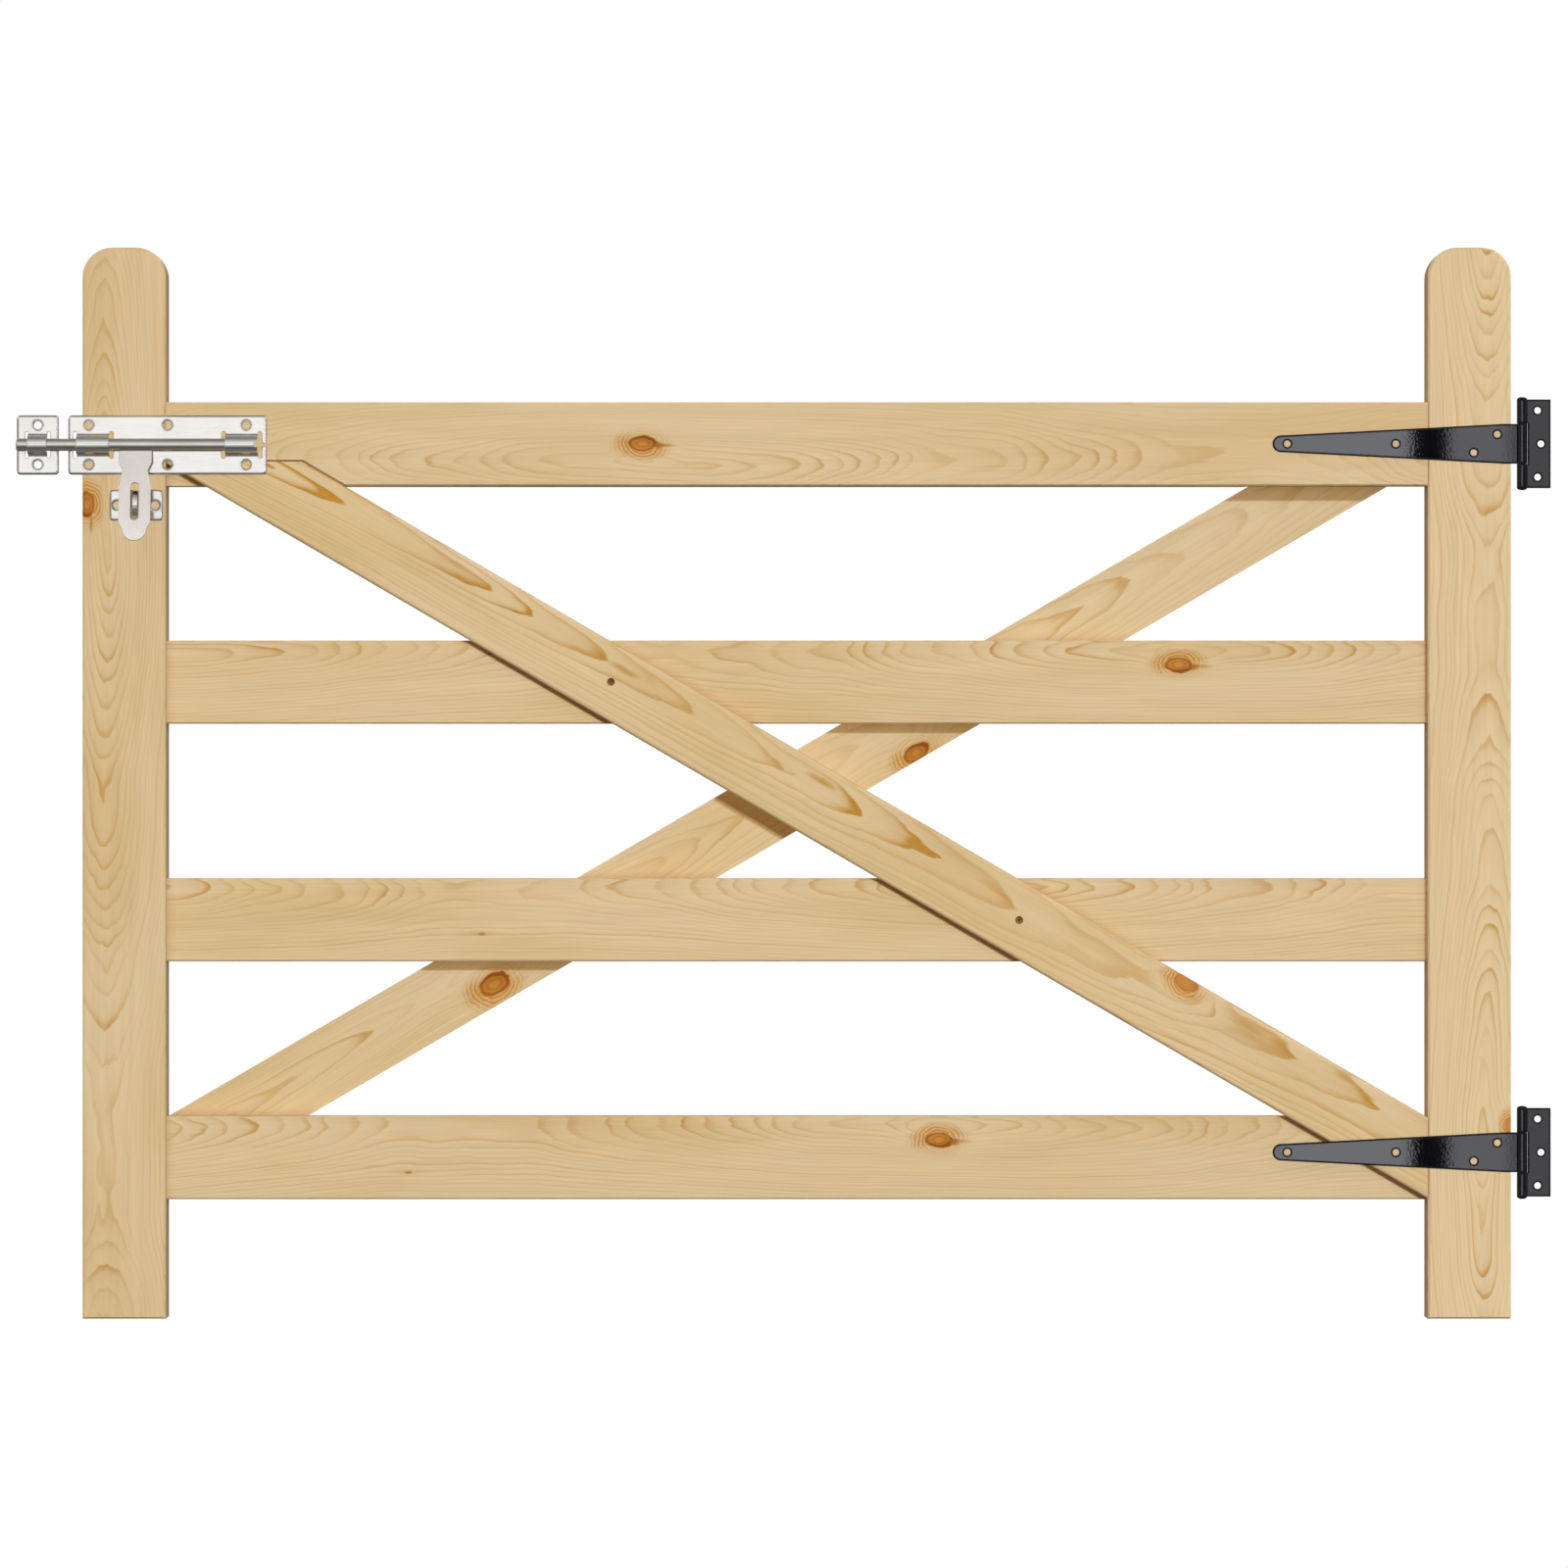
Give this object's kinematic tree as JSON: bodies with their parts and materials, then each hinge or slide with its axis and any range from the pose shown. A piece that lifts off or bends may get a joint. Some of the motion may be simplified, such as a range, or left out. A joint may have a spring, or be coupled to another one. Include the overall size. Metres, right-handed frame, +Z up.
{
  "type": "wooden garden gate",
  "caption": "Low pine gate of rails and crossed braces between rounded stiles, swinging on black T-hinges, with a bright sliding padlock bolt, hasp and keeper.",
  "frame": {"origin": "halfway between the two outer screw holes of the lower post plate, on the plate's back, which lies on the face of the hinge post", "axes": "+X along the gate from the latch to the hinges, +Y from the front to the back, +Z up"},
  "size_m": [1.2882, 0.0749, 0.9],
  "materials": {
    "pine": "planed, unvarnished",
    "black_coat": "gloss black powder coat",
    "bright_steel": "polished",
    "satin_steel": "satin",
    "screw_steel": "dull"
  },
  "bodies": {
    "post_side": {"upper_post_plate": "black_coat", "upper_hinge_pin": "black_coat", "lower_post_plate": "black_coat", "lower_hinge_pin": "black_coat"},
    "gate": {"latch_stile": "pine", "hinge_stile": "pine", "bottom_rail": "pine", "lower_middle_rail": "pine", "upper_middle_rail": "pine", "top_rail": "pine", "front_brace": "pine", "rear_brace": "pine", "front_brace_screws": "screw_steel", "rear_brace_screws": "screw_steel", "upper_hinge_strap": "black_coat", "lower_hinge_strap": "black_coat", "bolt_plate": "bright_steel", "staple_plate": "bright_steel", "staple_loop": "bright_steel"},
    "bolt": {"bolt_rod": "bright_steel"},
    "hasp": {"hasp": "satin_steel"},
    "keeper": {"keeper_plate": "bright_steel"}
  },
  "joints": [
    {"name": "gate_swing", "type": "hinge", "parent": "post_side", "child": "gate", "pos_m": [-0.0133, -0.0044, 0], "axis": [0, 0, 1], "range_deg": [0, 170]},
    {"name": "bolt_slide", "type": "slide", "parent": "gate", "child": "bolt", "axis": [1, 0, 0], "range_m": [0, 0.06]},
    {"name": "hasp_lift", "type": "hinge", "parent": "bolt", "child": "hasp", "pos_m": [-1.177, -0.00815, 0.594], "axis": [-1, 0, 0], "range_deg": [-15, 155]},
    {"name": "keeper_pull", "type": "slide", "parent": "gate", "child": "keeper", "axis": [-1, 0, 0], "range_m": [0, 0.05]}
  ]
}
